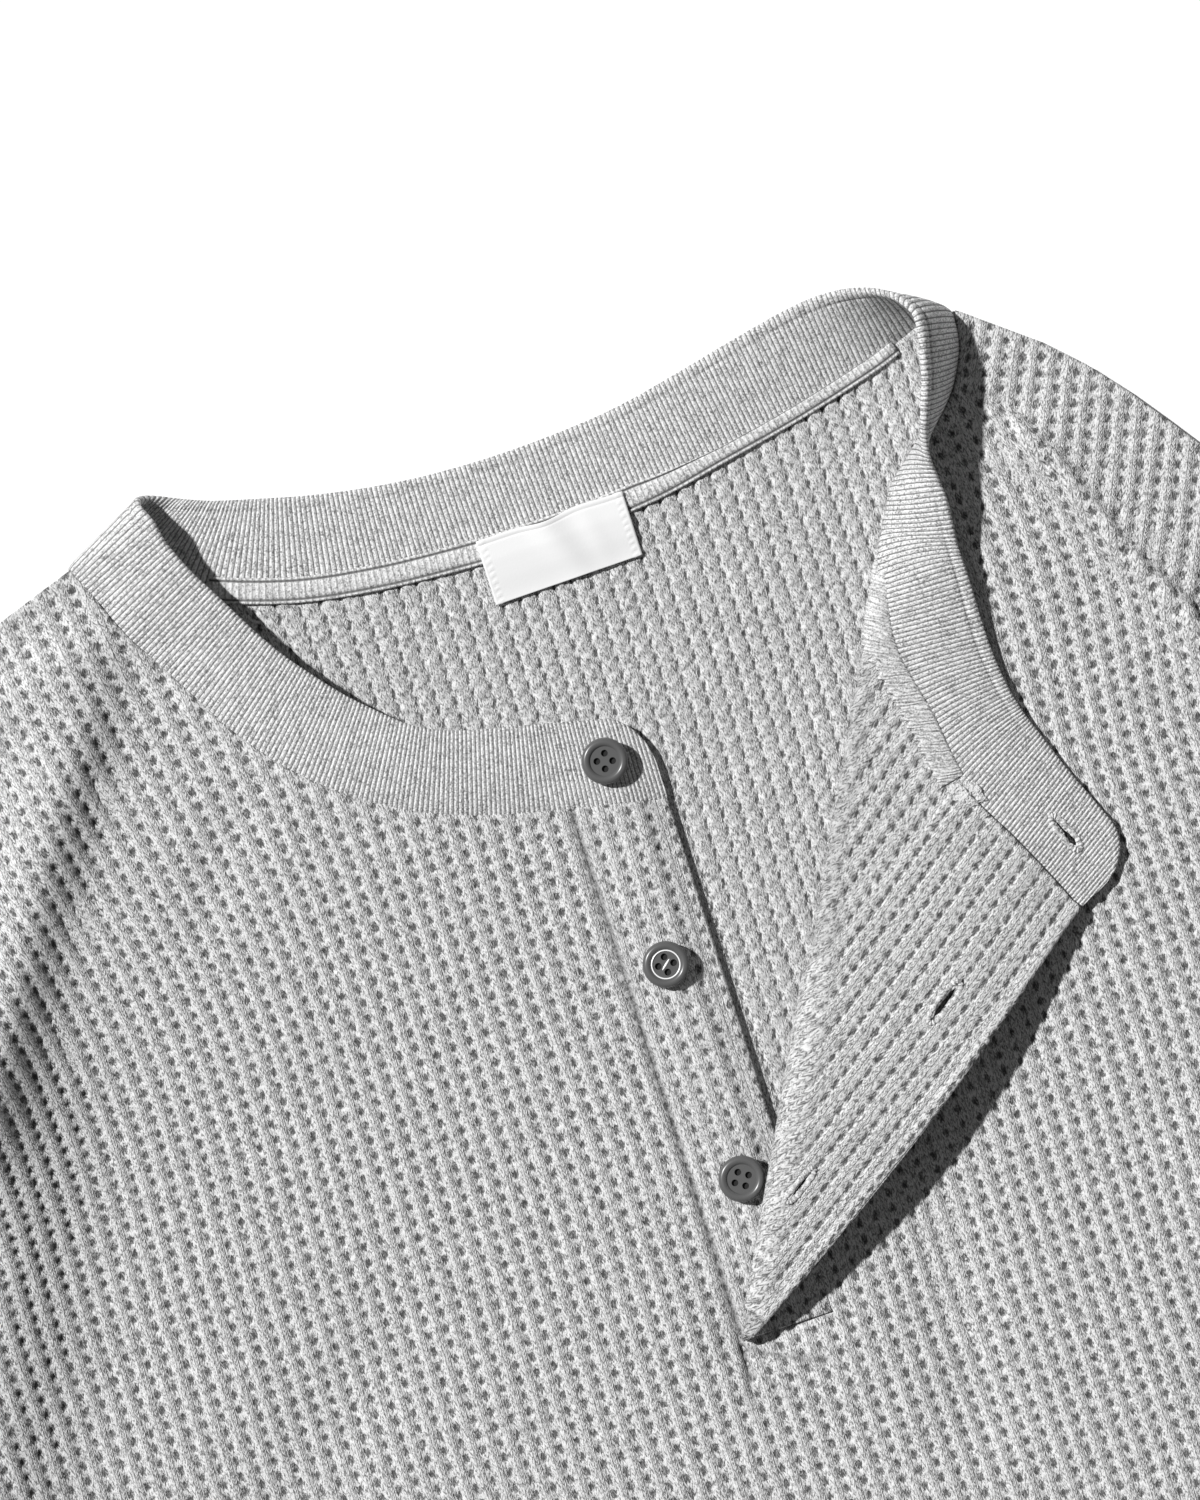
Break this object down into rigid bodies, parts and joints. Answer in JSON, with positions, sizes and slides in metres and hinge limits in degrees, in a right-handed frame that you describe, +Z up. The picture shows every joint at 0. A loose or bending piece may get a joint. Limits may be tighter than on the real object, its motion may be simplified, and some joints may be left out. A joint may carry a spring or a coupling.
{
  "type": "henley thermal top",
  "caption": "Long-sleeved waffle-knit top with a rib collar band and a buttoned placket, laid flat on its back with one front edge turned open.",
  "frame": {"origin": "centre of the garment's box in plan, at the floor it lies on", "axes": "+X to the wearer's left across the garment, +Y from the hem to the neck, +Z up from the floor through the cloth"},
  "size_m": [1.264, 0.71, 0.0249],
  "materials": {
    "waffle": "matte heather-grey waffle knit",
    "rib": "matte fine rib knit",
    "tape": "matte jersey tape",
    "label": "smooth woven satin",
    "button": "satin dark grey"
  },
  "bodies": {
    "root": {"back": "waffle", "front": "waffle", "sleeve_left": "waffle", "sleeve_right": "waffle", "placket_button": "waffle", "placket_buttonhole": "waffle", "collar": "rib", "neck_tape": "tape", "label": "label", "button_1": "button", "button_2": "button", "button_3": "button"}
  },
  "joints": []
}
